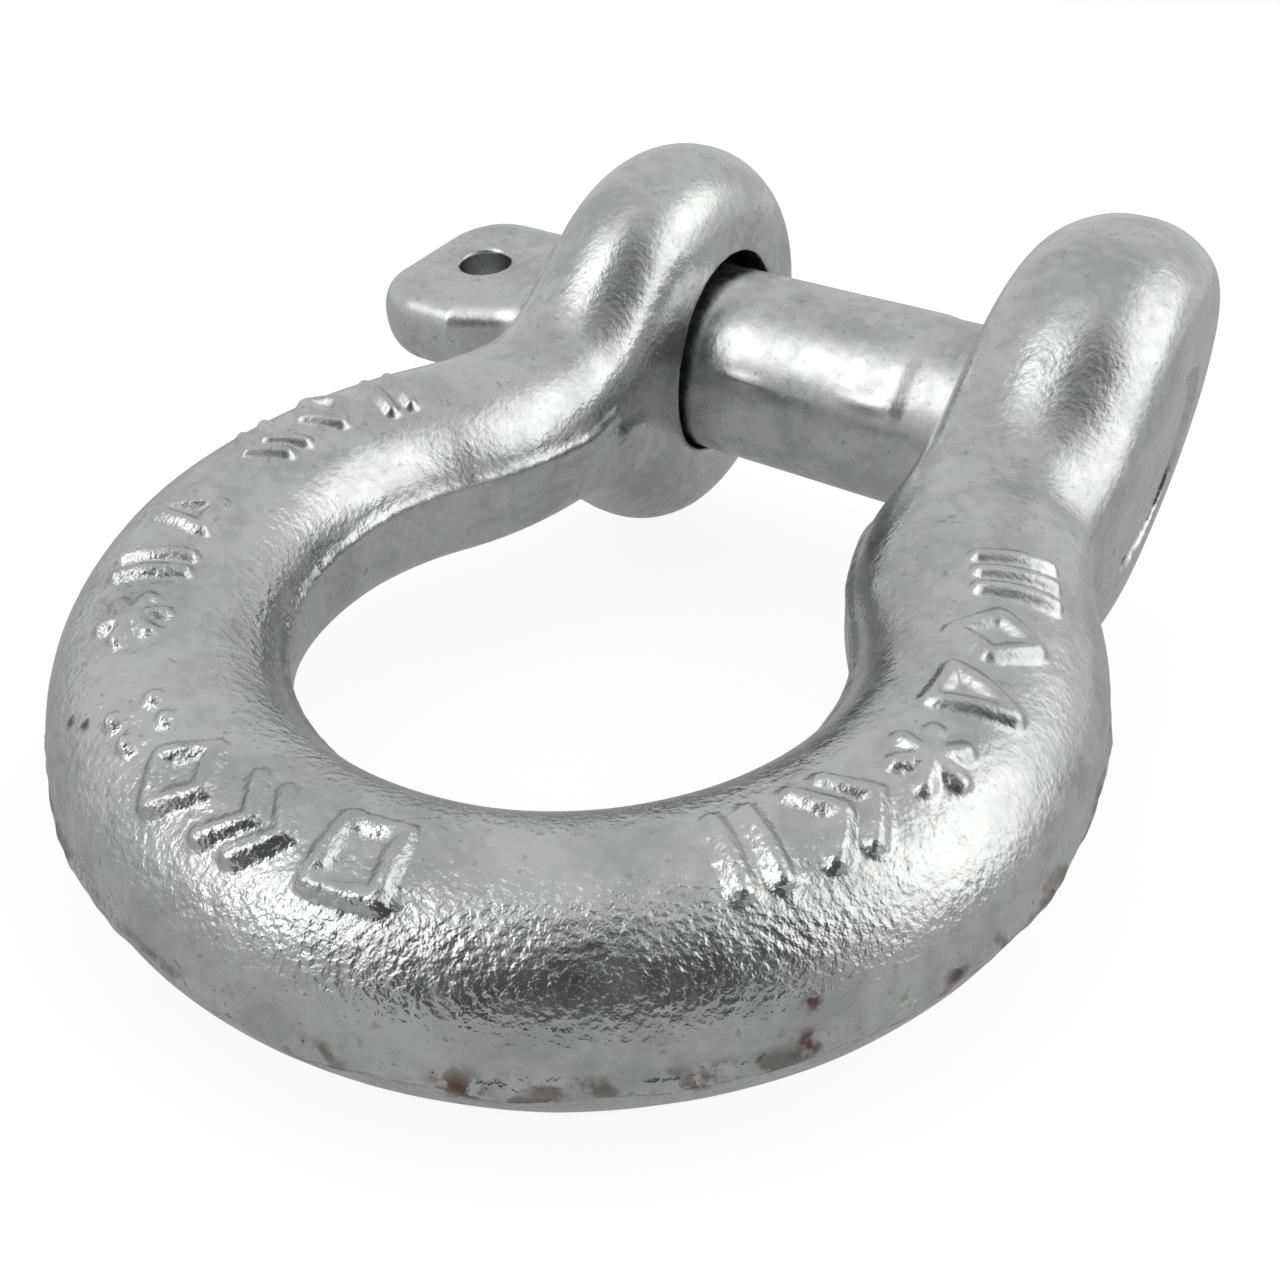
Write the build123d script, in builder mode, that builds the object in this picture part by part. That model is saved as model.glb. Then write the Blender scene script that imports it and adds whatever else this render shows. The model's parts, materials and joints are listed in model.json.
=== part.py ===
from build123d import *
import os
from math import atan2, cos, sin, sqrt

os.makedirs("parts", exist_ok=True)

# Bow shackle with a screw pin, nominal size 5/8 in (16 mm). All lengths are in millimetres.
# The origin is on the pin's axis, half way between the ears. +X runs along the pin from its
# head to the tapped ear, the crown of the bow lies at -Y, and +Z is square to the bow.

# Driving dimensions of the bow
jaw_width = 27.2
bar_radius = 8.5
bow_radius = 29.4
crown_reach = 77.6
neck_radius = 27.0
ear_radius = 20.6
ear_thickness = 17.5
ear_rounding = 7.4
neck_start = 11.0
neck_half_width = 8.3
neck_half_height = 15.0
neck_end = 27.0
neck_end_radius = 7.6
hole_radius = 11.1
mouth_chamfer = 0.8
dish_radius = 11.0
dish_depth = 1.2
pin_drop = 0.7

# Driving dimensions of the screw pin
pin_radius = 9.525
relief_radius = 9.1
relief_length = 6.0
relief_taper = 0.4
collar_radius = 11.7
collar_thickness = 2.4
collar_rounding = 0.9
throat_radius = 9.0
throat_end_radius = 5.0
throat_length = 7.0
tab_reach = 25.1
tab_half_width = 12.2
tab_corner = 7.5
tab_shoulder_reach = 12.2
tab_shoulder_rounding = 6.0
tab_root_half_width = 8.0
tab_thickness = 8.6
tab_rounding = 2.4
tab_tilt = 5.0
eye_radius = 3.0
eye_reach = 15.5
eye_chamfer = 0.9
tip_recess = 1.0
tip_flat_radius = 7.4
tip_cut_depth = 2.6

# Driving dimensions of the thread: a coarse 3/4-10 form with room for zinc on both flanks.
# Half widths are measured along the pin, at the root and at the crest of the pin's tooth.
pitch = 2.54
crest_radius = 9.35
root_radius = 7.95
crest_half_width = 0.32
root_half_width = 1.12
thread_room = 0.3
tap_root_room = 0.1
tooth_sink = 0.2

# The core inside the pin that carries its travel along the axis
core_radius = 3.0
core_half_length = 20.0
core_room = 0.05

jaw_face = jaw_width / 2
ear_outside = jaw_face + ear_thickness
ear_middle = jaw_face + ear_thickness / 2
dish_floor_x = ear_outside - dish_depth
bow_centre_y = bow_radius - crown_reach
tip_x = ear_outside - tip_recess
thread_start = jaw_face + thread_room
first_turn_x = thread_start + root_half_width + tooth_sink

# The tapped hole has the form of the pin's own tooth, moved out by the room between the two.
flank_slope = (root_half_width - crest_half_width) / (crest_radius - root_radius)
tap_crest_radius = root_radius + 2 * thread_room
tap_crest_half_width = root_half_width - flank_slope * thread_room
tap_root_radius = crest_radius + thread_room + tap_root_room
tap_root_half_width = crest_half_width - flank_slope * tap_root_room


def thread_ridge(start_x, end_x, inner_radius, inner_half_width, outer_radius, outer_half_width):
    """A right-handed helical ridge about the X axis, sunk a little below its inner radius."""
    sunk_radius = inner_radius - tooth_sink
    with BuildPart() as ridge:
        with BuildLine():
            coil = Helix(
                pitch, end_x - start_x, sunk_radius, center=(start_x, 0, 0), direction=(1, 0, 0)
            )
        start = Vector(start_x, 0, 0)
        outward = (coil @ 0) - start
        section_plane = Plane(start, x_dir=outward, z_dir=outward.cross(Vector(1, 0, 0)))
        with BuildSketch(section_plane):
            with BuildLine():
                Polyline(
                    (sunk_radius, -inner_half_width),
                    (inner_radius, -inner_half_width),
                    (outer_radius, -outer_half_width),
                    (outer_radius, outer_half_width),
                    (inner_radius, inner_half_width),
                    (sunk_radius, inner_half_width),
                    close=True,
                )
            make_face()
        sweep(is_frenet=True)
    return ridge.part


# ---------------------------------------------------------------- bow
# The bar's centre line: more than half a circle round the crown, a reverse arc on each
# side, and a short straight neck into each ear. It lies pin_drop above the pin's axis,
# because the pin rests on the bottom of its clearance hole.
arc_rise = sqrt((bow_radius + neck_radius) ** 2 - (ear_middle + neck_radius) ** 2)
neck_arc_y = bow_centre_y + arc_rise
meet_angle = atan2(arc_rise, ear_middle + neck_radius)
meet_x = bow_radius * cos(meet_angle)
meet_y = bow_centre_y + bow_radius * sin(meet_angle)
neck_mid_x = ear_middle + neck_radius - neck_radius * cos(meet_angle / 2)
neck_mid_y = neck_arc_y - neck_radius * sin(meet_angle / 2)

with BuildPart() as bow:
    for side in (1, -1):
        with BuildSketch(Plane.YZ.offset(side * ear_middle)):
            with Locations((0, pin_drop)):
                Circle(ear_radius)
        extrude(amount=ear_thickness / 2, both=True)
    fillet(bow.edges().filter_by(GeomType.CIRCLE), ear_rounding)

    with BuildLine(Plane.XY.offset(pin_drop)):
        Line((ear_middle, 0), (ear_middle, neck_arc_y))
        ThreePointArc((ear_middle, neck_arc_y), (neck_mid_x, neck_mid_y), (meet_x, meet_y))
        ThreePointArc((meet_x, meet_y), (0, -crown_reach), (-meet_x, meet_y))
        ThreePointArc((-meet_x, meet_y), (-neck_mid_x, neck_mid_y), (-ear_middle, neck_arc_y))
        Line((-ear_middle, neck_arc_y), (-ear_middle, 0))
    with BuildSketch(Plane((ear_middle, 0, pin_drop), z_dir=(0, -1, 0))):
        Circle(bar_radius)
    sweep()

    # Each neck swells from the bar's round section to the tall oval where it joins its ear
    for side in (1, -1):
        with BuildSketch(Plane((side * ear_middle, -neck_end, pin_drop), z_dir=(0, 1, 0))):
            Circle(neck_end_radius)
        swell_plane = Plane((side * ear_middle, -neck_start, pin_drop), (1, 0, 0), (0, 1, 0))
        with BuildSketch(swell_plane):
            Ellipse(neck_half_width, neck_half_height)
        loft()

    # Clearance hole in the head's ear, central in the forging, with both mouths eased
    with BuildSketch(Plane.XZ):
        with BuildLine():
            Polyline(
                (-ear_outside, pin_drop),
                (-ear_outside, pin_drop + hole_radius + mouth_chamfer),
                (-ear_outside + mouth_chamfer, pin_drop + hole_radius),
                (-jaw_face - mouth_chamfer, pin_drop + hole_radius),
                (-jaw_face, pin_drop + hole_radius + mouth_chamfer),
                (-jaw_face, pin_drop),
                close=True,
            )
        make_face()
    revolve(axis=Axis((0, 0, pin_drop), (1, 0, 0)), mode=Mode.SUBTRACT)

    # Tapped hole in the other ear, countersunk to its root, with a dished mouth outside
    tap_sink = tap_root_radius - tap_crest_radius
    with BuildSketch(Plane.XZ):
        with BuildLine():
            Polyline(
                (jaw_face, 0),
                (jaw_face, tap_root_radius),
                (jaw_face + tap_sink, tap_crest_radius),
                (dish_floor_x - tap_sink, tap_crest_radius),
                (dish_floor_x, tap_root_radius),
                (ear_outside, dish_radius),
                (ear_outside, 0),
                close=True,
            )
        make_face()
    revolve(axis=Axis.X, mode=Mode.SUBTRACT)
    add(
        thread_ridge(
            first_turn_x - 2 * pitch,
            ear_outside + pitch,
            tap_crest_radius,
            tap_crest_half_width,
            tap_root_radius,
            tap_root_half_width,
        ),
        mode=Mode.SUBTRACT,
    )

# ---------------------------------------------------------------- screw pin
# One forging: flattened eye head, throat, collar, shank, relief and thread.
collar_x = -ear_outside - collar_thickness
tab_tip_x = -ear_outside - tab_reach
tab_shoulder_x = -ear_outside - tab_shoulder_reach
eye_x = -ear_outside - eye_reach
relief_x = jaw_face - relief_length

tab_plane = Plane.XY.rotated((tab_tilt, 0, 0))


def tab_height(edge):
    """How far an edge lies above the middle of the tilted eye head."""
    return tab_plane.to_local_coords(edge.center()).Z


with BuildPart() as screw_pin:
    with BuildSketch(tab_plane) as tab_outline:
        with BuildLine():
            Polyline(
                (collar_x, tab_root_half_width),
                (tab_shoulder_x, tab_half_width),
                (tab_tip_x, tab_half_width),
                (tab_tip_x, -tab_half_width),
                (tab_shoulder_x, -tab_half_width),
                (collar_x, -tab_root_half_width),
                close=True,
            )
        make_face()
        corners = tab_outline.vertices()
        fillet(corners.filter_by(lambda v: v.X < tab_tip_x + 0.1), tab_corner)
        shoulders = tab_outline.vertices().filter_by(lambda v: abs(v.X - tab_shoulder_x) < 0.1)
        fillet(shoulders, tab_shoulder_rounding)
    extrude(amount=tab_thickness / 2, both=True)
    face_edges = screw_pin.edges().filter_by(lambda e: abs(tab_height(e)) > tab_thickness / 2 - 0.1)
    fillet(face_edges.filter_by(lambda e: e.center().X < collar_x - 0.1), tab_rounding)
    with Locations(tab_plane):
        with Locations((eye_x, 0, 0)):
            Cylinder(eye_radius, 2 * tab_thickness, mode=Mode.SUBTRACT)
    rims = screw_pin.edges().filter_by(GeomType.CIRCLE)
    chamfer(rims.filter_by(lambda e: abs(e.radius - eye_radius) < 0.01), eye_chamfer)

    with BuildSketch(Plane.XZ):
        with BuildLine():
            Polyline(
                (collar_x - throat_length, 0),
                (collar_x - throat_length, throat_end_radius),
                (collar_x, throat_radius),
                (collar_x, collar_radius),
                (-ear_outside, collar_radius),
                (-ear_outside, pin_radius),
                (relief_x, pin_radius),
                (relief_x + relief_taper, relief_radius),
                (jaw_face, relief_radius),
                (thread_start, root_radius),
                (tip_x, root_radius),
                (tip_x, 0),
                close=True,
            )
        make_face()
    revolve(axis=Axis.X)
    collar_edges = screw_pin.edges().filter_by(GeomType.CIRCLE)
    fillet(
        collar_edges.filter_by(lambda e: abs(e.radius - collar_radius) < 0.01), collar_rounding
    )

    # The thread runs out past the tip, and the tip is then turned back to a chamfer
    add(
        thread_ridge(
            first_turn_x,
            tip_x + pitch,
            root_radius,
            root_half_width,
            crest_radius,
            crest_half_width,
        )
    )
    with BuildSketch(Plane.XZ):
        with BuildLine():
            Polyline(
                (tip_x, 0),
                (tip_x, tip_flat_radius),
                (tip_x - tip_cut_depth, tip_flat_radius + tip_cut_depth),
                (tip_x + 2 * pitch, tip_flat_radius + tip_cut_depth),
                (tip_x + 2 * pitch, 0),
                close=True,
            )
        make_face()
    revolve(axis=Axis.X, mode=Mode.SUBTRACT)

    # Sealed bore for the core
    with Locations(Plane.YZ):
        Cylinder(
            core_radius + core_room, 2 * (core_half_length + core_room), mode=Mode.SUBTRACT
        )

# ---------------------------------------------------------------- pin core
with BuildPart() as pin_core:
    with Locations(Plane.YZ):
        Cylinder(core_radius, 2 * core_half_length)

bow.part.label = "bow"
screw_pin.part.label = "screw_pin"
pin_core.part.label = "pin_core"
export_step(bow.part, "parts/bow.step")
export_step(screw_pin.part, "parts/screw_pin.step")
export_step(pin_core.part, "parts/pin_core.step")
for name, piece in (("bow", bow), ("screw_pin", screw_pin), ("pin_core", pin_core)):
    print(name, round(piece.part.volume), "mm3", len(piece.solids()), piece.part.is_valid)
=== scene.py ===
import json
import math

import bmesh
import bpy
import numpy as np
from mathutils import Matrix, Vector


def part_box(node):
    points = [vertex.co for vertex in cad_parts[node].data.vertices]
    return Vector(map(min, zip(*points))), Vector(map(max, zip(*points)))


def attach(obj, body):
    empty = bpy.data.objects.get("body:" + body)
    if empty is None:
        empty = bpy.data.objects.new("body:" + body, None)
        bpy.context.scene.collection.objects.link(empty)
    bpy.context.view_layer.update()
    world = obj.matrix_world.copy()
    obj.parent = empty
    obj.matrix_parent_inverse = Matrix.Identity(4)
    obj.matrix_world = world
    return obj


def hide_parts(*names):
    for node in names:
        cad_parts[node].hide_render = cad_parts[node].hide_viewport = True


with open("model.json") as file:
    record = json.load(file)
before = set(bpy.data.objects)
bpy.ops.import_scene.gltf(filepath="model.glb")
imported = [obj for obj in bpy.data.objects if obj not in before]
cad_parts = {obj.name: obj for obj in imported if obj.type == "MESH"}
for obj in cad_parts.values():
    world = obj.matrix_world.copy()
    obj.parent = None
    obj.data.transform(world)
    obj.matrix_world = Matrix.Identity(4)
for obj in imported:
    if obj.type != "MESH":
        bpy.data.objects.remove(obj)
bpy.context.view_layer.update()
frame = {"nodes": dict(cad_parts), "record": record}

import openvdb
from mathutils import Matrix, Vector, noise

MM = 0.001


# ---------------------------------------------------------------- sizes from the frame
def in_mm(corner):
    return np.array(corner) / MM


record = frame["record"]
mounts = {mount["name"]: mount for mount in record["mounts"]}
bow_low, bow_high = (in_mm(corner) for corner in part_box("bow"))
pin_low, pin_high = (in_mm(corner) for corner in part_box("screw_pin"))

# The bow's bar, which is a little thinner at the crown and swells towards each ear.
# Lengths along the bar are measured from the crown.
BAR_RADIUS = 8.5
NECK_RADIUS = 27.0
CROWN_THINNING = 0.35
CROWN_THIN_FROM = 10
CROWN_THIN_TO = 45
NECK_SWELLING = 0.85
HEAD_NECK_SWELLING = 0.1
SWELLING_TO = 70
BAR_END_Y = 2

# The ears. The one at the pin's head is a little smaller and thinner than the tapped one.
JAW_WIDTH = 27.2
EAR_THICKNESS = 17.5
EAR_ROUNDING = 8.3
EAR_LEAST_FLAT = 0.3
HEAD_EAR_SMALLER = 0.7
HEAD_EAR_THINNER = 1.8
HEAD_EAR_SHIFT_Y = -0.5
NECK_FILL = 6.0
FACE_BLEND = 2.5
FACE_END_Y = -19.0
FACE_RECESSION = 0.035
EAR_MARGIN = 2

# The two holes
HOLE_RADIUS = 10.5
MOUTH_CHAMFER = 0.3
DISH_RADIUS = 10.5
DISH_DEPTH = 0.7
HOLE_EDGE_BLEND = 0.6

ear_radius = (bow_high[2] - bow_low[2]) / 2
pin_drop = (bow_high[2] + bow_low[2]) / 2
bow_radius = bow_high[0] - BAR_RADIUS
crown_reach = -bow_low[1] - BAR_RADIUS
bow_centre_y = bow_radius - crown_reach
jaw_face = JAW_WIDTH / 2
ear_middle = jaw_face + EAR_THICKNESS / 2
ear_outside = jaw_face + EAR_THICKNESS
head_ear_outside = ear_outside - HEAD_EAR_THINNER

# The pin's collar, shank and thread. The tapped hole has the thread's form with room all
# round it, and a little more at its root.
COLLAR_RADIUS = 11.7
COLLAR_THICKNESS = 2.4
COLLAR_ROUNDING = 1.4
RELIEF_RADIUS = 9.36
RELIEF_LENGTH = 6.0
RELIEF_TAPER = 1.3
CREST_RADIUS = 9.35
ROOT_RADIUS = 7.95
CREST_HALF_WIDTH = 0.32
ROOT_HALF_WIDTH = 1.12
THREAD_ROOM = 0.3
TAP_ROOT_ROOM = 0.1
TAP_CREST_NARROWER = 0.06
TAP_ROOT_NARROWER = 0.17
FIRST_TURN = 1.62
THREAD_PHASE = 0.25
THREAD_RUN_IN = 1.7
TIP_FLAT_RADIUS = 8.8
TIP_BLEND = 0.5

# The pin's throat and its flat eye head
THROAT_RADIUS = 9.0
THROAT_END_RADIUS = 5.0
THROAT_LENGTH = 7.0
THROAT_BLEND = 2
TAB_THICKNESS = 8.6
TAB_HALF_WIDTH = 12.2
TAB_CORNER = 7.5
TAB_SHOULDER = 12.2
TAB_ROOT_HALF_WIDTH = 8.0
TAB_BEVEL = 1.9
TAB_EDGE_BLEND = 0.8
TAB_BEVEL_BLEND = 1.5
EYE_CHAMFER = 0.4
EYE_EDGE_BLEND = 0.6
TAB_FILL = 3
COLLAR_FILL = 1.5
PIECES_OVERLAP = 1

pin_radius = mounts["jaw_pin"]["dims"]["r_mm"]
eye_radius = mounts["head_eye"]["dims"]["r_mm"]
eye_axis = Vector(mounts["head_eye"]["axis"])
tab_tilt = math.atan2(-eye_axis.y, eye_axis.z)
eye_x = mounts["head_eye"]["pos_m"][0] / MM
tab_tip_x = pin_low[0]
tip_x = pin_high[0]
pitch = math.tau / record["behaviour"]["couplings"][0]["ratio"] / MM
collar_x = -ear_outside - COLLAR_THICKNESS
tab_shoulder_x = -ear_outside - TAB_SHOULDER
relief_x = jaw_face - RELIEF_LENGTH
thread_start = jaw_face + THREAD_ROOM


# ---------------------------------------------------------------- field tools
# Distances to cones and threads are measured square to the axis, so they are scaled down
CONE_SLOPE = 0.85
THREAD_SLOPE = 0.8


def smooth_min(a, b, width):
    """The lower of two distances, with the corner between them filled over width."""
    near = np.clip(0.5 + 0.5 * (b - a) / width, 0, 1)
    return b + (a - b) * near - width * near * (1 - near)


def smooth_max(a, b, width):
    """The higher of two distances, with the edge between them rounded over width."""
    return -smooth_min(-a, -b, width)


def rounded_slab(across, around, half_across, half_around, rounding):
    """A rectangle with rounded corners, centred across and reaching half_around out."""
    out_across = np.abs(across) - (half_across - rounding)
    out_around = around - (half_around - rounding)
    outside = np.hypot(np.maximum(out_across, 0), np.maximum(out_around, 0))
    return outside + np.minimum(np.maximum(out_across, out_around), 0) - rounding


def ramp(value, start, end):
    """0 at start, 1 at end, smooth between."""
    t = np.clip((value - start) / (end - start), 0, 1)
    return t * t * (3 - 2 * t)


def thread_radius(x, angle, crest, root, crest_half_width, root_half_width):
    """The radius of a right-handed trapezoid thread at a place along X and an angle about it."""
    turns = (x - jaw_face - FIRST_TURN) / pitch - angle / math.tau + THREAD_PHASE
    from_tooth = np.abs(turns - np.round(turns)) * pitch
    height = (root_half_width - from_tooth) / (root_half_width - crest_half_width)
    return root + (crest - root) * np.clip(height, 0, 1)


# ---------------------------------------------------------------- bow
arc_rise = math.sqrt((bow_radius + NECK_RADIUS) ** 2 - (ear_middle + NECK_RADIUS) ** 2)
neck_arc_y = bow_centre_y + arc_rise
meet_angle = math.atan2(arc_rise, ear_middle + NECK_RADIUS)
crown_arc = bow_radius * (math.pi / 2 + meet_angle)
neck_arc = NECK_RADIUS * meet_angle


def along_bar(x, y):
    """How far along the bar points lie, from 0 at the crown, and how far outside its middle."""
    half_x = np.abs(x)
    from_centre = y - bow_centre_y
    crown_s = bow_radius * (np.arctan2(from_centre, half_x) + math.pi / 2)
    crown_side = np.hypot(half_x, from_centre) - bow_radius
    arc_x = ear_middle + NECK_RADIUS - half_x
    arc_y = neck_arc_y - y
    neck_s = crown_arc + neck_arc - NECK_RADIUS * np.arctan2(arc_y, arc_x)
    neck_side = NECK_RADIUS - np.hypot(arc_x, arc_y)
    straight_s = crown_arc + neck_arc + y - neck_arc_y
    straight_side = half_x - ear_middle
    on_crown = from_centre * math.cos(meet_angle) < half_x * math.sin(meet_angle)
    on_straight = y > neck_arc_y
    s = np.where(on_straight, straight_s, np.where(on_crown, crown_s, neck_s))
    side = np.where(on_straight, straight_side, np.where(on_crown, crown_side, neck_side))
    return s, side


def bar_distance(points):
    """The bar, from one ear round the crown to the other."""
    y = points[:, 1]
    z = points[:, 2] - pin_drop
    s, side = along_bar(points[:, 0], y)
    thinning = 1 - ramp(s, CROWN_THIN_FROM, CROWN_THIN_TO)
    swelling = np.where(points[:, 0] < 0, HEAD_NECK_SWELLING, NECK_SWELLING)
    swelling = swelling * ramp(s, CROWN_THIN_TO, SWELLING_TO)
    bar = np.hypot(side, z) - (BAR_RADIUS - CROWN_THINNING * thinning + swelling)
    return smooth_max(bar, y - BAR_END_Y, 1)


def ear_distance(points, outside_x):
    """The two ears, rounded discs between the jaw and outside_x."""
    y = points[:, 1]
    z = points[:, 2] - pin_drop
    on_head_side = points[:, 0] < 0
    half_thickness = (outside_x - jaw_face) / 2
    return rounded_slab(
        np.abs(points[:, 0]) - jaw_face - half_thickness,
        np.where(on_head_side, np.hypot(y - HEAD_EAR_SHIFT_Y, z), np.hypot(y, z)),
        half_thickness,
        np.where(on_head_side, ear_radius - HEAD_EAR_SMALLER, ear_radius),
        np.minimum(half_thickness - EAR_LEAST_FLAT, EAR_ROUNDING),
    )


def clearance_hole(points):
    """The plain hole of the head's ear, with both mouths eased. Positive in the hole."""
    x = points[:, 0]
    inside_face = np.minimum(-x - jaw_face, head_ear_outside + x)
    mouth = HOLE_RADIUS + MOUTH_CHAMFER - inside_face
    return np.maximum(HOLE_RADIUS, mouth) - np.hypot(points[:, 1], points[:, 2] - pin_drop)


def tapped_hole(points):
    """The threaded hole, countersunk inside and dished outside. Positive in the hole."""
    x, y, z = points[:, 0], points[:, 1], points[:, 2]
    tap_root = CREST_RADIUS + THREAD_ROOM + TAP_ROOT_ROOM
    tap = thread_radius(
        x,
        np.arctan2(z, y),
        tap_root,
        ROOT_RADIUS + 2 * THREAD_ROOM,
        CREST_HALF_WIDTH - TAP_CREST_NARROWER,
        ROOT_HALF_WIDTH - TAP_ROOT_NARROWER,
    )
    sink = tap_root - (x - jaw_face)
    dish = tap_root + (DISH_RADIUS - tap_root) * (x - ear_outside + DISH_DEPTH) / DISH_DEPTH
    return (np.maximum(np.maximum(tap, sink), dish) - np.hypot(y, z)) * THREAD_SLOPE


def bow_field(points):
    """The distance in mm from each point to the bow's surface, negative inside."""
    half_x = np.abs(points[:, 0])
    on_head_side = points[:, 0] < 0
    outside_x = np.where(on_head_side, head_ear_outside, ear_outside)
    body = smooth_min(bar_distance(points), ear_distance(points, outside_x), NECK_FILL)

    # The swell between neck and ear is pressed back to the ear's two faces
    recession = FACE_RECESSION * np.maximum(FACE_END_Y - points[:, 1], 0) ** 2
    body = smooth_max(body, jaw_face - half_x - recession, FACE_BLEND)
    body = smooth_max(body, half_x - outside_x - recession, FACE_BLEND)

    hole = np.where(on_head_side, clearance_hole(points), tapped_hole(points))
    drilled = smooth_max(body, hole, HOLE_EDGE_BLEND)
    return np.where(half_x > jaw_face - EAR_MARGIN, drilled, body)


# ---------------------------------------------------------------- screw pin
def shaft_distance(points):
    """The shank, the relief and the threaded end."""
    x, y, z = points[:, 0], points[:, 1], points[:, 2]
    plain = np.interp(
        x,
        [relief_x, relief_x + RELIEF_TAPER, jaw_face, thread_start],
        [pin_radius, RELIEF_RADIUS, RELIEF_RADIUS, ROOT_RADIUS],
    )
    thread = thread_radius(
        x, np.arctan2(z, y), CREST_RADIUS, ROOT_RADIUS, CREST_HALF_WIDTH, ROOT_HALF_WIDTH
    )
    run_in = ramp(x, thread_start, thread_start + THREAD_RUN_IN)
    threaded = ROOT_RADIUS + (thread - ROOT_RADIUS) * run_in
    shaft_radius = np.where(x < thread_start, plain, threaded)
    shaft_radius = np.minimum(shaft_radius, TIP_FLAT_RADIUS + tip_x - x)
    shaft = (np.hypot(y, z) - shaft_radius) * CONE_SLOPE
    shaft = np.maximum(shaft, -head_ear_outside - PIECES_OVERLAP - x)
    return smooth_max(shaft, x - tip_x, TIP_BLEND)


def collar_distance(points):
    """The collar that stops the pin against the head's ear."""
    return rounded_slab(
        points[:, 0] - (collar_x - head_ear_outside) / 2,
        np.hypot(points[:, 1], points[:, 2]),
        (-collar_x - head_ear_outside) / 2,
        COLLAR_RADIUS,
        COLLAR_ROUNDING,
    )


def throat_distance(points):
    """The cone between the collar and the flat head."""
    x = points[:, 0]
    throat_radius = np.interp(
        x, [collar_x - THROAT_LENGTH, collar_x], [THROAT_END_RADIUS, THROAT_RADIUS]
    )
    throat = (np.hypot(points[:, 1], points[:, 2]) - throat_radius) * CONE_SLOPE
    throat = smooth_max(throat, np.abs(x - collar_x) - THROAT_LENGTH, THROAT_BLEND)
    return np.maximum(throat, x - collar_x - PIECES_OVERLAP)


def in_tab(points):
    """How far points lie across the tilted flat head, and how far above its middle."""
    y, z = points[:, 1], points[:, 2]
    across = y * math.cos(tab_tilt) + z * math.sin(tab_tilt)
    above = z * math.cos(tab_tilt) - y * math.sin(tab_tilt)
    return across, above


def tab_distance(points):
    """The flat head, with round corners and bevelled edges."""
    x = points[:, 0]
    across, above = in_tab(points)
    half_width = np.interp(
        x, [tab_shoulder_x, collar_x], [TAB_HALF_WIDTH, TAB_ROOT_HALF_WIDTH]
    )
    corner_x = np.maximum(tab_tip_x + TAB_CORNER - x, 0)
    corner_y = np.maximum(np.abs(across) - (TAB_HALF_WIDTH - TAB_CORNER), 0)
    at_corner = (corner_x > 0) & (corner_y > 0)
    outline = np.maximum(np.abs(across) - half_width, tab_tip_x - x)
    outline = np.where(at_corner, np.hypot(corner_x, corner_y) - TAB_CORNER, outline)
    outline = np.maximum(outline, x - collar_x - PIECES_OVERLAP)
    faces = np.abs(above) - TAB_THICKNESS / 2
    bevel = (outline + faces + TAB_BEVEL) * math.sqrt(0.5)
    return smooth_max(smooth_max(outline, faces, TAB_EDGE_BLEND), bevel, TAB_BEVEL_BLEND)


def eye_hole(points):
    """The hole through the flat head, with both mouths eased. Positive in the hole."""
    across, above = in_tab(points)
    mouth = np.maximum(np.abs(above) - (TAB_THICKNESS / 2 - EYE_CHAMFER), 0)
    return eye_radius + mouth - np.hypot(points[:, 0] - eye_x, across)


def pin_field(points):
    """The distance in mm from each point to the screw pin's surface, negative inside."""
    head = smooth_min(tab_distance(points), throat_distance(points), TAB_FILL)
    head = smooth_min(head, collar_distance(points), COLLAR_FILL)
    head = smooth_max(head, eye_hole(points), EYE_EDGE_BLEND)
    return np.minimum(head, shaft_distance(points))


# ---------------------------------------------------------------- raised marks
# Plain geometric signs stand where such a bow carries its raised lettering. Each is a list
# of strokes in millimetres, along the bar and across it.
STROKE_HALF_LENGTH = 2.7
STAR_REACH = 2.4


def outline_of(*corners):
    """The strokes of a closed shape."""
    return list(zip(corners, corners[1:] + corners[:1]))


def bars(count, gap):
    """Parallel strokes, straight across the bow's bar."""
    places = [(i - (count - 1) / 2) * gap for i in range(count)]
    return [((at, -STROKE_HALF_LENGTH), (at, STROKE_HALF_LENGTH)) for at in places]


def spoke(turn):
    """A stroke through the middle of a sign."""
    along, across = STAR_REACH * math.cos(turn), STAR_REACH * math.sin(turn)
    return (-along, -across), (along, across)


SIGNS = {
    "two_bars": bars(2, 2.4),
    "three_bars": bars(3, 2.1),
    "diamond": outline_of((-2.3, 0), (0, 3), (2.3, 0), (0, -3)),
    "triangle": outline_of((-2.2, -2.6), (2.2, -2.6), (0, 2.8)),
    "square": outline_of((-2.1, -2.6), (2.1, -2.6), (2.1, 2.6), (-2.1, 2.6)),
    "chevrons": [
        ((foot, side), (foot + 2.2, 0)) for foot in (-2.4, 0.2) for side in (-2.8, 2.8)
    ],
    "four_dots": [((a, b), (a, b)) for a in (-1.3, 1.3) for b in (-1.6, 1.6)],
    "star": [spoke(turn) for turn in (math.pi / 6, math.pi / 2, math.pi * 5 / 6)],
}
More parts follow.
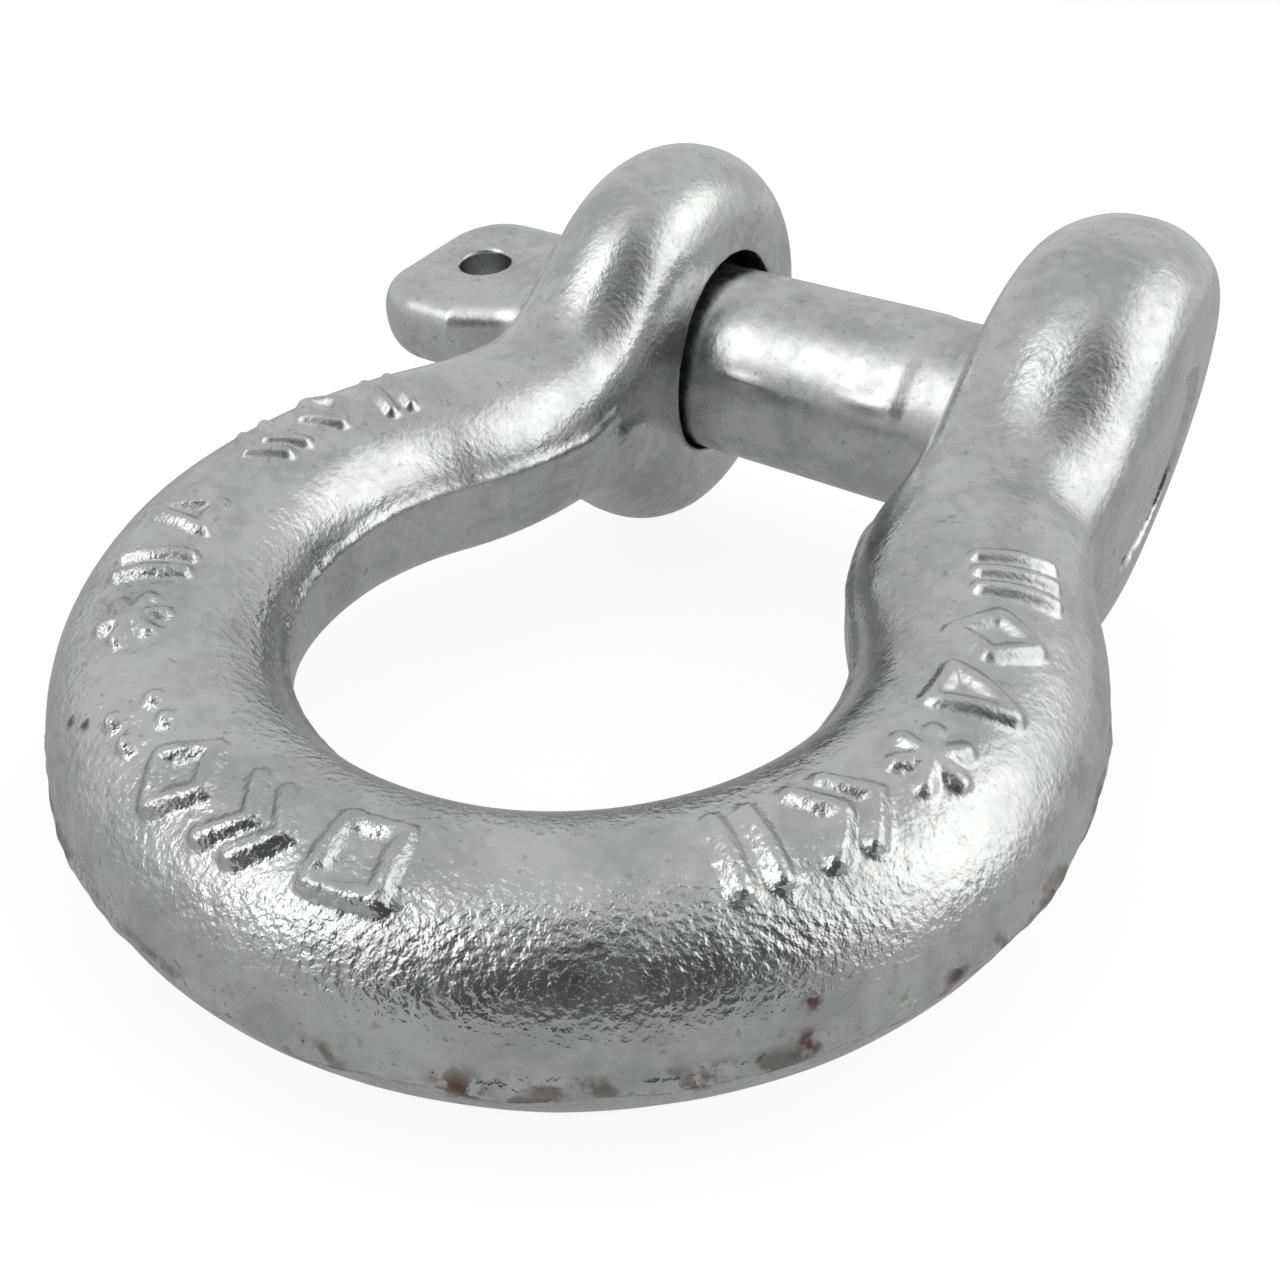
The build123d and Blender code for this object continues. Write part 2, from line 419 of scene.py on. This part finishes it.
# Each mark's sign, its place along the bar from the crown, positive on the tapped side, and
# how far outside the bar's top line it stands
MARKS = (
    ("three_bars", 58.4, 1.2),
    ("diamond", 51.8, 0.2),
    ("triangle", 45.8, 0.8),
    ("star", 39.6, 1.2),
    ("chevrons", 33.2, 1.0),
    ("two_bars", 27.2, 1.0),
    ("square", 7.0, 1.4),
    ("chevrons", 0.6, 1.7),
    ("diamond", -5.4, 2.0),
    ("four_dots", -11.0, 2.0),
    ("star", -20.8, 0.8),
    ("two_bars", -27.0, 0.2),
    ("triangle", -33.4, 0.2),
    ("chevrons", -44.5, 0.0),
    ("diamond", -50.8, 0.2),
    ("two_bars", -56.8, -0.8),
)
SIGN_SIZE = 0.86
SIGN_REACH = 5
STROKE_CORE = 0.05
STROKE_EDGE = 1.05
MARK_HEIGHT = 0.6
FAR_OFF = 9.0


def mark_height(points, stroke_edge=STROKE_EDGE):
    """How far the marks raise the bar's surface at each point."""
    s, side = along_bar(points[:, 0], points[:, 1])
    z = points[:, 2] - pin_drop
    signed_s = np.copysign(s, points[:, 0])
    across = BAR_RADIUS * np.arctan2(side, z)
    height = np.zeros(len(points))
    for sign, place, out in MARKS:
        near_along = np.abs(signed_s - place) < SIGN_REACH
        near_across = np.abs(across - out) < SIGN_REACH
        nearby = near_along & near_across & (z > 0)
        u = (signed_s[nearby] - place) / SIGN_SIZE
        v = (across[nearby] - out) / SIGN_SIZE
        distance = np.full(len(u), FAR_OFF)
        for (u0, v0), (u1, v1) in SIGNS[sign]:
            length = max((u1 - u0) ** 2 + (v1 - v0) ** 2, 1e-6)
            t = np.clip(((u - u0) * (u1 - u0) + (v - v0) * (v1 - v0)) / length, 0, 1)
            there = np.hypot(u - u0 - t * (u1 - u0), v - v0 - t * (v1 - v0))
            distance = np.minimum(distance, there)
        rise = 1 - ramp(distance * SIGN_SIZE, STROKE_CORE, stroke_edge)
        height[nearby] = np.maximum(height[nearby], rise)
    return height * MARK_HEIGHT


# ---------------------------------------------------------------- surface detail
def roughen(points, wavelength, shift=0.0):
    """Smooth noise of about -1 to 1 at each point, with a wavelength in mm."""
    scaled = points / wavelength + shift
    return np.array([noise.noise(point) for point in scaled.tolist()])


FLASH_OUTER_HEIGHT = 0.5
FLASH_INNER_HEIGHT = 0.4
FLASH_INNER_Z = 1.7
FLASH_RISE_AT_EAR = 1.0


def flash_height(points, normals):
    """The trimmed flash left along the forging's parting plane, outside and inside the bow."""
    s, side = along_bar(points[:, 0], points[:, 1])
    z = points[:, 2] - pin_drop
    ragged = roughen(points, 6.0, 40) + 0.5 * roughen(points, 1.8, 70)
    upright = 1 - ramp(np.abs(normals[:, 2]), 0.25, 0.6)
    outside = 1 - ramp(np.abs(z + 0.25 * ragged), 0.35, 1.0)
    outside = outside * np.clip(0.65 + 0.7 * ragged, 0.1, 1.2) * FLASH_OUTER_HEIGHT
    inner_z = FLASH_INNER_Z + FLASH_RISE_AT_EAR * ramp(points[:, 1], -26, -19)
    inside = 1 - ramp(np.abs(z - inner_z), 0.1, 0.75)
    inside = inside * np.clip(0.8 + 0.4 * ragged, 0.3, 1.1) * FLASH_INNER_HEIGHT
    in_bow = (side < 0) & (points[:, 1] < neck_arc_y)
    past_hole = np.hypot(points[:, 1], z) > ear_radius - 4
    return np.where(in_bow, inside, outside) * upright * past_hole


def bow_detail(points, normals):
    """The bow's marks, flash, forging lumps, and a grain that is coarser on the crown."""
    from_axis = np.hypot(points[:, 1], points[:, 2])
    forged = ramp(from_axis, 11.3, 13.5)
    crown = ramp(-points[:, 1], 62, 80)
    lumps = 0.07 * roughen(points, 11) + 0.022 * roughen(points, 4.5, 20)
    grain = (0.003 + 0.009 * crown) * roughen(points, 1.3, 9)
    return mark_height(points) + flash_height(points, normals) + forged * (lumps + grain)


# Small lumps of zinc on the shank's front: their places along X in mm and about it in degrees
ZINC_LUMPS = ((-7.9, 161), (5.3, 156))
LUMP_LENGTH = 2.0
LUMP_WIDTH = 0.55
LUMP_HEIGHT = 0.16


def lump_height(points):
    """How far the lumps of zinc stand out of the shank at each point."""
    angle = np.degrees(np.arctan2(points[:, 2], points[:, 1]))
    height = np.zeros(len(points))
    for x, turn in ZINC_LUMPS:
        along = (points[:, 0] - x) / LUMP_LENGTH
        around = np.radians(angle - turn) * pin_radius / LUMP_WIDTH
        height += LUMP_HEIGHT * np.exp(-along ** 2 - around ** 2)
    return height


def pin_detail(points, _normals):
    """The head's forging lumps, and the smoother shank with its lumps of zinc."""
    head = ramp(-points[:, 0], ear_outside + 1, ear_outside + 5)
    shank = (1 - ramp(points[:, 0], relief_x - 2, relief_x)) * (1 - head)
    lumps = 0.08 * roughen(points, 7) + 0.02 * roughen(points, 3, 20)
    return head * lumps + shank * 0.012 * roughen(points, 5, 5) + lump_height(points)


# ---------------------------------------------------------------- meshing
BAND_VOXELS = 3
SETTLING_STEPS = 3
LEAST_SLOPE = 0.2
SMOOTHING_STEP = 0.2


def field_slope(field, points, step=0.02):
    """The field's gradient by differences."""
    slope = np.empty_like(points)
    for axis in range(3):
        offset = np.zeros(3)
        offset[axis] = step
        slope[:, axis] = (field(points + offset) - field(points - offset)) / (2 * step)
    return slope


def refine(mesh, where):
    """Halves the quads whose corners all lie where the function says."""
    work = bmesh.new()
    work.from_mesh(mesh)
    places = np.array([vertex.co for vertex in work.verts])
    chosen = where(places)
    edges = [edge for edge in work.edges if all(chosen[vertex.index] for vertex in edge.verts)]
    bmesh.ops.subdivide_edges(work, edges=edges, cuts=1, use_grid_fill=True)
    work.to_mesh(mesh)
    work.free()


def surface_quads(field, low, high, voxel):
    """Points near the surface where a field is zero, and the quads between them."""
    margin = BAND_VOXELS * voxel
    counts = np.ceil((high - low + 2 * margin) / voxel).astype(int)
    axes = [low[i] - margin + voxel * np.arange(counts[i]) for i in range(3)]
    values = np.empty(counts, np.float32)
    grid_y, grid_z = np.meshgrid(axes[1], axes[2], indexing="ij")
    slab = np.column_stack((np.empty(grid_y.size), grid_y.ravel(), grid_z.ravel()))
    for i, x in enumerate(axes[0]):
        slab[:, 0] = x
        values[i] = field(slab).reshape(grid_y.shape)
    grid = openvdb.FloatGrid(margin)
    grid.copyFromArray(np.clip(values, -margin, margin))
    points, quads = grid.convertToQuads(isovalue=0)
    return points.astype(float) * voxel + [axis[0] for axis in axes], quads


def settle(field, points, voxel):
    """Moves points the last fraction of a voxel onto the surface."""
    for _ in range(SETTLING_STEPS):
        slope = field_slope(field, points)
        length = np.sum(slope * slope, axis=1)
        step = field(points) / np.maximum(length, LEAST_SLOPE)
        points = points - slope * np.clip(step, -voxel / 2, voxel / 2)[:, None]
    return points


def mesh_field(name, field, detail, low, high, voxel, fine_where=None):
    """Meshes the surface where a field is zero, and raises the detail along its normals."""
    points, quads = surface_quads(field, low, high, voxel)
    mesh = bpy.data.meshes.new(name)
    mesh.from_pydata(points.tolist(), [], quads.tolist())
    if fine_where is not None:
        refine(mesh, fine_where)
    points = np.empty(3 * len(mesh.vertices), np.float32)
    mesh.vertices.foreach_get("co", points)
    points = settle(field, points.astype(float).reshape(-1, 3), voxel)
    slope = field_slope(field, points, SMOOTHING_STEP)
    normals = slope / np.maximum(np.linalg.norm(slope, axis=1), 0.01)[:, None]
    points = points + normals * detail(points, normals)[:, None]
    print(name, len(points), "points", len(mesh.polygons), "faces")
    mesh.vertices.foreach_set("co", (points * MM).ravel())
    mesh.flip_normals()
    mesh.shade_smooth()
    piece = bpy.data.objects.new(name, mesh)
    bpy.context.scene.collection.objects.link(piece)
    return piece


def under_marks(points):
    """Where the bow's mesh has to be finer: under each mark and a little round it."""
    return mark_height(points, STROKE_EDGE + 0.5) > 0


# Both meshes stay under 200,000 triangles
BOW_VOXEL = 0.51
PIN_VOXEL = 0.295
bow = mesh_field(
    "bow_forging", bow_field, bow_detail, bow_low, bow_high, BOW_VOXEL, under_marks
)
screw_pin = mesh_field(
    "screw_pin_forging", pin_field, pin_detail, pin_low, pin_high, PIN_VOXEL
)
for piece, node, body, slot in (
    (bow, "bow", "bow", "bow_zinc"),
    (screw_pin, "screw_pin", "screw_pin", "pin_zinc"),
):
    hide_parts(node)
    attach(piece, body)


# ---------------------------------------------------------------- materials
class Surface:
    """One material, with short ways to build its nodes. Lengths given to it are in mm."""

    def __init__(self, name):
        self.material = bpy.data.materials.new(name)
        self.material.use_nodes = True
        self.tree = self.material.node_tree
        self.shader = self.tree.nodes["Principled BSDF"]
        self.place = self.add("ShaderNodeTexCoord").outputs["Object"]

    def add(self, kind, **settings):
        """A new node of a kind, with its settings."""
        node = self.tree.nodes.new(kind)
        for name, value in settings.items():
            setattr(node, name, value)
        return node

    def connect(self, value, socket):
        """Links a socket, or sets a plain value."""
        if isinstance(value, bpy.types.NodeSocket):
            self.tree.links.new(value, socket)
        else:
            socket.default_value = value

    def noise(self, wavelength, detail=3.0):
        """Noise from 0 to 1, mostly near 0.5."""
        node = self.add("ShaderNodeTexNoise")
        node.inputs["Scale"].default_value = 1 / (wavelength * MM)
        node.inputs["Detail"].default_value = detail
        self.connect(self.place, node.inputs["Vector"])
        return node.outputs["Fac"]

    def crystals(self, size):
        """A value from 0 to 1 for each cell of zinc."""
        node = self.add("ShaderNodeTexVoronoi")
        node.inputs["Scale"].default_value = 1 / (size * MM)
        self.connect(self.place, node.inputs["Vector"])
        split = self.add("ShaderNodeSeparateColor")
        self.connect(node.outputs["Color"], split.inputs["Color"])
        return split.outputs["Red"]

    def spread(self, value, start, end, low=0.0, high=1.0):
        """Turns start..end of a value into low..high, smoothly."""
        node = self.add("ShaderNodeMapRange", interpolation_type="SMOOTHSTEP")
        node.inputs["From Min"].default_value = start
        node.inputs["From Max"].default_value = end
        node.inputs["To Min"].default_value = low
        node.inputs["To Max"].default_value = high
        self.connect(value, node.inputs["Value"])
        return node.outputs["Result"]

    def math(self, operation, a, b=0.0):
        """One sum of two values."""
        node = self.add("ShaderNodeMath", operation=operation)
        self.connect(a, node.inputs[0])
        self.connect(b, node.inputs[1])
        return node.outputs["Value"]

    def mix(self, amount, a, b):
        """A colour from a to b."""
        node = self.add("ShaderNodeMix", data_type="RGBA")
        self.connect(amount, node.inputs["Factor"])
        sockets = [socket for socket in node.inputs if socket.type == "RGBA"]
        for value, socket in zip((a, b), sockets):
            self.connect((*value, 1) if isinstance(value, tuple) else value, socket)
        return next(socket for socket in node.outputs if socket.type == "RGBA")

    def axis(self, name):
        """X, Y or Z in the object's frame, in metres."""
        split = self.add("ShaderNodeSeparateXYZ")
        self.connect(self.place, split.inputs["Vector"])
        return split.outputs[name]

    def near(self, centre, inner, outer):
        """1 within inner of a point, falling to 0 at outer."""
        node = self.add("ShaderNodeVectorMath", operation="DISTANCE")
        self.connect(self.place, node.inputs[0])
        node.inputs[1].default_value = [value * MM for value in centre]
        return self.spread(node.outputs["Value"], inner * MM, outer * MM, 1.0, 0.0)

    def bump(self, height, distance, under=None):
        """A normal from a height of 0 to 1, which stands for a distance, on another bump."""
        node = self.add("ShaderNodeBump")
        node.inputs["Distance"].default_value = distance * MM
        self.connect(height, node.inputs["Height"])
        if under is not None:
            self.connect(under, node.inputs["Normal"])
        return node.outputs["Normal"]


GREEN_ZINC = (0.650, 0.672, 0.655)
PINK_ZINC = (0.672, 0.660, 0.668)
DARK_ZINC = (0.505, 0.515, 0.510)
DULL_ZINC = (0.33, 0.34, 0.33)
DARK_STEEL = (0.30, 0.31, 0.32)
BRIGHT_STEEL = (0.42, 0.43, 0.44)
DIRT = (0.10, 0.085, 0.07)
RUST = (0.11, 0.055, 0.03)
DIRT_STRENGTH = 0.6
DIRT_HALF_WIDTH = 0.5
DIRT_END = 1.4
PEEL_SIZE = 0.55
PEEL_DEPTH = 0.15


def zinc(name, grain, smoothest, roughest):
    """Hot-dip zinc: cloudy patches, faint crystals, fine pits and a faint grain."""
    surface = Surface(name)
    clouds = surface.noise(9, 4)
    flecks = surface.noise(1.1, 3)
    cells = surface.crystals(2.6)
    tone = surface.math("MULTIPLY", clouds, 0.6)
    tone = surface.math("ADD", tone, surface.math("MULTIPLY", flecks, 0.32))
    tone = surface.math("ADD", tone, surface.math("MULTIPLY", cells, 0.08))
    bright = surface.mix(surface.spread(surface.noise(5, 3), 0.4, 0.6), GREEN_ZINC, PINK_ZINC)
    colour = surface.mix(surface.spread(tone, 0.36, 0.60), DARK_ZINC, bright)
    pits = surface.spread(surface.noise(0.9, 2), 0.66, 0.72)
    colour = surface.mix(surface.math("MULTIPLY", pits, 0.5), colour, DULL_ZINC)
    roughness = surface.spread(surface.noise(2.4, 4), 0.35, 0.65, smoothest, roughest)
    fine = surface.bump(surface.noise(0.42, 2), 0.03 * grain)
    coarse = surface.bump(surface.noise(1.6, 2), 0.05 * grain, fine)
    surface.shader.inputs["Metallic"].default_value = 1
    return surface, colour, roughness, coarse


# Each rust spot's centre, the radius where it is full and the radius where it ends, in mm
RUST_SPOTS = (
    ((-15.5, -78.8, 7.6), 0.3, 0.9),
    ((-17.0, -78.6, 6.6), 0.2, 0.7),
    ((16.5, -82.3, 0.3), 0.6, 2.4),
    ((26.7, -75.1, 0.2), 0.5, 1.9),
    ((30.3, -69.8, 3.9), 0.2, 0.9),
    ((30.6, -70.5, 1.4), 0.4, 1.4),
    ((35.5, -62.0, 1.0), 0.3, 1.2),
)


def dirt_line(surface):
    """Where dirt is held along the flash outside the bow, in broken stretches."""
    from_plane = surface.math("SUBTRACT", surface.axis("Z"), pin_drop * MM)
    from_plane = surface.math("ABSOLUTE", from_plane)
    line = surface.spread(from_plane, DIRT_HALF_WIDTH * MM, DIRT_END * MM, 1.0, 0.0)
    inside = surface.near((0, bow_centre_y, pin_drop), bow_radius + 4, bow_radius + 6)
    below_ears = surface.spread(surface.axis("Y"), -30 * MM, -24 * MM, 1.0, 0.0)
    outside = surface.math("MULTIPLY", surface.math("SUBTRACT", 1.0, inside), below_ears)
    line = surface.math("MULTIPLY", line, outside)
    broken = surface.spread(surface.noise(3.5, 5), 0.52, 0.60)
    return surface.math("MULTIPLY", surface.math("MULTIPLY", line, broken), DIRT_STRENGTH)


def rust_patches(surface):
    """Where the rust spots are, with ragged edges."""
    rust = 0.0
    for centre, inner, outer in RUST_SPOTS:
        rust = surface.math("MAXIMUM", rust, surface.near(centre, inner, outer))
    ragged = surface.spread(surface.noise(0.9, 3), 0.42, 0.56)
    return surface.math("MULTIPLY", rust, ragged)


def bow_zinc():
    """The bow's zinc, rougher on the crown, with dirt along the flash and a few rust spots."""
    surface, colour, roughness, grain = zinc("bow_zinc", 1.0, 0.16, 0.29)
    crown = surface.spread(surface.axis("Y"), -72 * MM, -45 * MM, 1.0, 0.2)
    peel = surface.math("MULTIPLY", surface.noise(PEEL_SIZE, 2), crown)
    dirt = dirt_line(surface)
    rust = rust_patches(surface)
    colour = surface.mix(rust, surface.mix(dirt, colour, DIRT), RUST)
    roughness = surface.math("ADD", roughness, surface.math("MULTIPLY", dirt, 0.3))
    metal = surface.spread(rust, 0.2, 0.8, 1.0, 0.0)
    surface.connect(surface.bump(peel, PEEL_DEPTH, grain), surface.shader.inputs["Normal"])
    surface.connect(colour, surface.shader.inputs["Base Color"])
    surface.connect(roughness, surface.shader.inputs["Roughness"])
    surface.connect(metal, surface.shader.inputs["Metallic"])
    return surface.material


def pin_zinc():
    """The pin's zinc, with a finer grain than the bow's and an evener sheen."""
    surface, colour, roughness, grain = zinc("pin_zinc", 0.5, 0.22, 0.33)
    surface.connect(grain, surface.shader.inputs["Normal"])
    surface.connect(colour, surface.shader.inputs["Base Color"])
    surface.connect(roughness, surface.shader.inputs["Roughness"])
    return surface.material


def core_steel():
    """Bare ground steel, for the core that the pin hides."""
    surface = Surface("core_steel")
    tone = surface.spread(surface.noise(1.5, 4), 0.35, 0.65)
    colour = surface.mix(tone, DARK_STEEL, BRIGHT_STEEL)
    roughness = surface.spread(surface.noise(0.6, 3), 0.3, 0.7, 0.25, 0.45)
    surface.connect(colour, surface.shader.inputs["Base Color"])
    surface.connect(roughness, surface.shader.inputs["Roughness"])
    surface.shader.inputs["Metallic"].default_value = 1
    return surface.material


bow.data.materials.append(bow_zinc())
screw_pin.data.materials.append(pin_zinc())
core = frame["nodes"]["pin_core"]
for slot in core.material_slots:
    slot.material = core_steel()


# ---------------------------------------------------------------- camera
# The camera's direction from its target and its roll are in degrees, its places in metres
CAMERA_TURN = 34.28
CAMERA_HEIGHT = 38.41
CAMERA_ROLL = -0.88
CAMERA_DISTANCE = 0.0924
CAMERA_TARGET = (0.00225, -0.04625, 0.0006)
CAMERA_LENS = 34.18
CAMERA_SHIFT = (0.019, -0.0057)
NEAREST_SEEN = 0.005


def direction(turn, height):
    """The way to a turn about Z from the crown's side, and a height above level, in degrees."""
    turn, height = math.radians(turn), math.radians(height)
    flat = math.cos(height)
    return Vector((math.sin(turn) * flat, -math.cos(turn) * flat, math.sin(height)))


def add_camera():
    """The camera, looking down on the crown from its tapped side."""
    back = direction(CAMERA_TURN, CAMERA_HEIGHT)
    right = direction(CAMERA_TURN + 90, 0)
    up = back.cross(right)
    roll = math.radians(CAMERA_ROLL)
    rolled_right = right * math.cos(roll) + up * math.sin(roll)
    rolled_up = up * math.cos(roll) - right * math.sin(roll)
    data = bpy.data.cameras.new("camera")
    data.lens = CAMERA_LENS
    data.clip_start = NEAREST_SEEN
    data.shift_x, data.shift_y = CAMERA_SHIFT
    camera = bpy.data.objects.new("camera", data)
    place = Matrix((rolled_right, rolled_up, back)).transposed().to_4x4()
    place.translation = Vector(CAMERA_TARGET) + back * CAMERA_DISTANCE
    camera.matrix_world = place
    bpy.context.scene.collection.objects.link(camera)
    bpy.context.scene.camera = camera


add_camera()


# ---------------------------------------------------------------- floor
# The shackle lies on its two ears and its crown, so the floor leans a little to the bow.
FLOOR_SIZE = 3.0
FLOOR_GAP = 0.0002
FLOOR_SEEN = 0.88
FLOOR_REFLECTED = 0.31
lean = math.asin((ear_radius - BAR_RADIUS) / crown_reach)
floor_normal = Vector((0, math.sin(lean), math.cos(lean)))
under_ears = Vector((0, 0, pin_drop * MM)) - floor_normal * (ear_radius * MM + FLOOR_GAP)


def stage_floor():
    """A wide white floor with a faint shadow, greyer in the metal than to the eye."""
    mesh = bpy.data.meshes.new("floor")
    across = Vector((1, 0, 0)) * FLOOR_SIZE / 2
    along = floor_normal.cross(Vector((1, 0, 0))) * FLOOR_SIZE / 2
    corners = [
        under_ears + across * a + along * b for a, b in ((-1, -1), (1, -1), (1, 1), (-1, 1))
    ]
    mesh.from_pydata(corners, [], [(0, 1, 2, 3)])
    material = bpy.data.materials.new("floor")
    material.use_nodes = True
    nodes, links = material.node_tree.nodes, material.node_tree.links
    shader = nodes["Principled BSDF"]
    shader.inputs["Base Color"].default_value = (0.2, 0.2, 0.2, 1)
    shader.inputs["Roughness"].default_value = 0.9
    shader.inputs["Specular IOR Level"].default_value = 0.0
    shader.inputs["Emission Color"].default_value = (1, 1, 1, 1)
    seen = nodes.new("ShaderNodeLightPath")
    glow = nodes.new("ShaderNodeMix")
    glow.inputs["A"].default_value = FLOOR_REFLECTED
    glow.inputs["B"].default_value = FLOOR_SEEN
    links.new(seen.outputs["Is Camera Ray"], glow.inputs["Factor"])
    links.new(glow.outputs["Result"], shader.inputs["Emission Strength"])
    mesh.materials.append(material)
    floor = bpy.data.objects.new("floor", mesh)
    bpy.context.scene.collection.objects.link(floor)


stage_floor()


# ---------------------------------------------------------------- light
# Even grey walls, a soft box high on the left that is brightest below, another low on the
# right, and a dim ceiling over the dark place where the camera stands. Each patch has its turn
# about Z from the crown's side, its height, the angles where it is full and where it ends, all
# in degrees, and its shade.
ROOM_SHADE = 0.66
LIGHT_PATCHES = (
    (-32, 64, 8, 30, 1.05),
    (-30, 47, 8, 28, 2.0),
    (118, 30, 10, 38, 1.6),
    (30, 62, 8, 30, 0.36),
    (36, 20, 22, 54, 0.09),
)


def room_shade(nodes, links):
    """The brightness of the room in each direction: the patches over the even walls."""
    place = nodes.new("ShaderNodeTexCoord").outputs["Generated"]
    shade = None
    for turn, height, full, end, brightness in LIGHT_PATCHES:
        toward = nodes.new("ShaderNodeVectorMath")
        toward.operation = "DOT_PRODUCT"
        toward.inputs[1].default_value = direction(turn, height)
        links.new(place, toward.inputs[0])
        extent = nodes.new("ShaderNodeMapRange")
        extent.interpolation_type = "SMOOTHSTEP"
        extent.inputs["From Min"].default_value = math.cos(math.radians(end))
        extent.inputs["From Max"].default_value = math.cos(math.radians(full))
        links.new(toward.outputs["Value"], extent.inputs["Value"])
        layer = nodes.new("ShaderNodeMix")
        layer.inputs["A"].default_value = ROOM_SHADE
        layer.inputs["B"].default_value = brightness
        links.new(extent.outputs["Result"], layer.inputs["Factor"])
        if shade is not None:
            links.new(shade, layer.inputs["A"])
        shade = layer.outputs["Result"]
    return shade


def studio_world():
    """White where the camera looks past the floor, and the room for every other ray."""
    world = bpy.data.worlds.new("studio")
    world.use_nodes = True
    nodes, links = world.node_tree.nodes, world.node_tree.links
    room = nodes["Background"]
    links.new(room_shade(nodes, links), room.inputs["Color"])
    white = nodes.new("ShaderNodeBackground")
    white.inputs["Color"].default_value = (1, 1, 1, 1)
    seen = nodes.new("ShaderNodeLightPath")
    choice = nodes.new("ShaderNodeMixShader")
    links.new(seen.outputs["Is Camera Ray"], choice.inputs["Fac"])
    links.new(room.outputs["Background"], choice.inputs[1])
    links.new(white.outputs["Background"], choice.inputs[2])
    links.new(choice.outputs["Shader"], nodes["World Output"].inputs["Surface"])
    bpy.context.scene.world = world


studio_world()
bpy.context.scene.view_settings.view_transform = "Standard"
